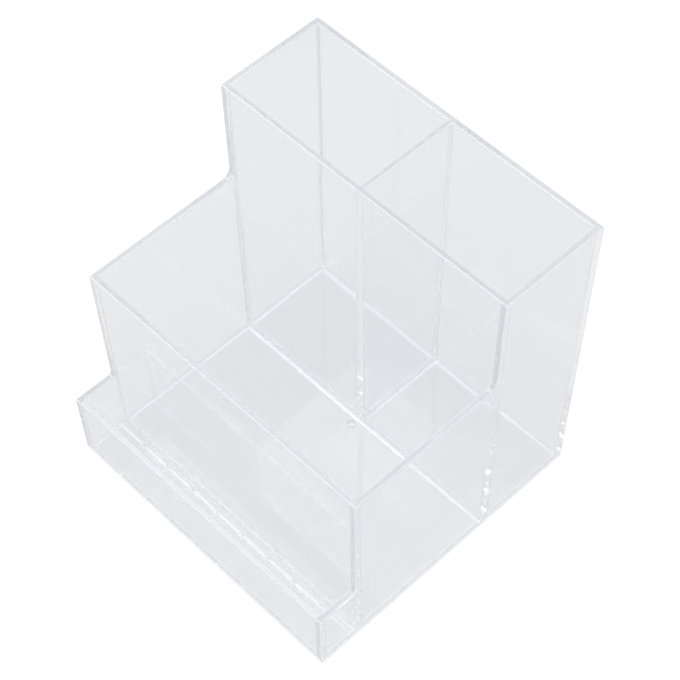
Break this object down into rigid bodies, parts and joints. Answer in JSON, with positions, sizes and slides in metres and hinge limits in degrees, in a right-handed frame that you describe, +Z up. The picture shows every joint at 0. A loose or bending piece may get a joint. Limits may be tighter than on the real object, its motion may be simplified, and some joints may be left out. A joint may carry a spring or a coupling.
{
  "type": "brush holder",
  "caption": "Clear open-topped desk holder with tall upright cells at the back, a lower wide bin in front of them and a narrow tray along the foot.",
  "frame": {"origin": "on the ground under the middle of the holder's footprint", "axes": "+X to the right across the front, +Y from the front tray to the back, +Z up"},
  "size_m": [0.1296, 0.1243, 0.1315],
  "materials": {
    "clear_panel": "polished, clear and colourless"
  },
  "bodies": {
    "root": {"base_panel": "clear_panel", "left_side_panel": "clear_panel", "right_side_panel": "clear_panel", "back_panel": "clear_panel", "tower_front_panel": "clear_panel", "tower_divider": "clear_panel", "bin_front_panel": "clear_panel", "tray_front_panel": "clear_panel", "pencil_rest": "clear_panel"}
  },
  "joints": []
}
